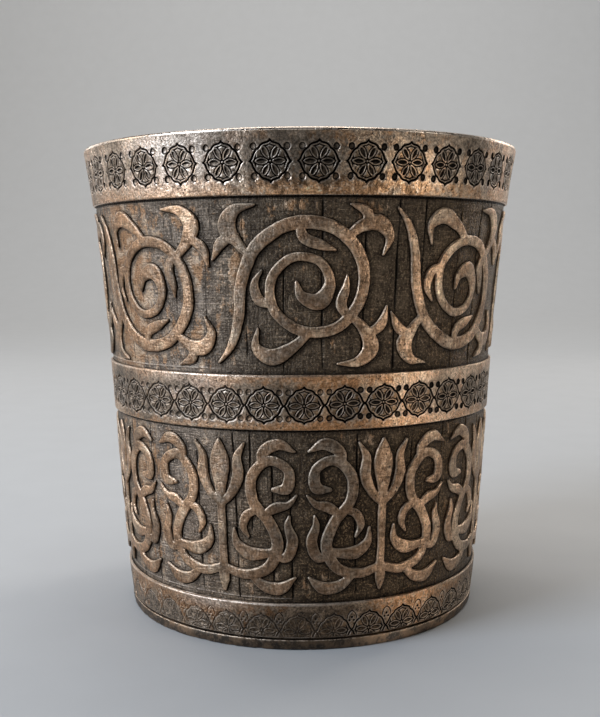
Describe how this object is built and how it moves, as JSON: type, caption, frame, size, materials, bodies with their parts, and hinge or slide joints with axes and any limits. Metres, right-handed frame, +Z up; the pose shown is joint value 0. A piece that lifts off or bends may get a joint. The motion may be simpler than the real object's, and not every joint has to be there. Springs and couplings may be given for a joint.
{
  "type": "tumbler",
  "caption": "Flared round brass drinking tumbler with rosette bands, applied scrollwork fields, a rolled rim and a low foot ring.",
  "frame": {"origin": "centre of the foot ring's underside, on the surface that the tumbler stands on", "axes": "+Z up along the cup's axis; -Y is the side seen in the picture's front view, +X to its right"},
  "size_m": [0.0954, 0.0954, 0.1],
  "materials": {
    "wall_brass": "dark brown-grey patina over brass, chased grain, copper-coloured where rubbed",
    "floor_brass": "dull brown patina, matt",
    "foot_brass": "worn, patinated brass",
    "band_brass": "rubbed copper-brown brass with dark oxide in the engraving",
    "relief_brass": "rubbed copper-brown brass, faintly brushed, bright on the edges"
  },
  "bodies": {
    "root": {"wall": "wall_brass", "base_plate": "floor_brass", "foot_ring": "foot_brass", "base_band": "band_brass", "waist_band": "band_brass", "rim_band": "band_brass", "vine_scroll_1": "relief_brass", "vine_scroll_2": "relief_brass", "vine_scroll_3": "relief_brass", "vine_scroll_4": "relief_brass", "vine_scroll_5": "relief_brass", "vine_scroll_6": "relief_brass", "vine_scroll_7": "relief_brass", "vine_scroll_8": "relief_brass", "palmette_1": "relief_brass", "palmette_2": "relief_brass", "palmette_3": "relief_brass", "palmette_4": "relief_brass", "palmette_5": "relief_brass", "palmette_6": "relief_brass", "palmette_7": "relief_brass", "palmette_8": "relief_brass"}
  },
  "joints": []
}
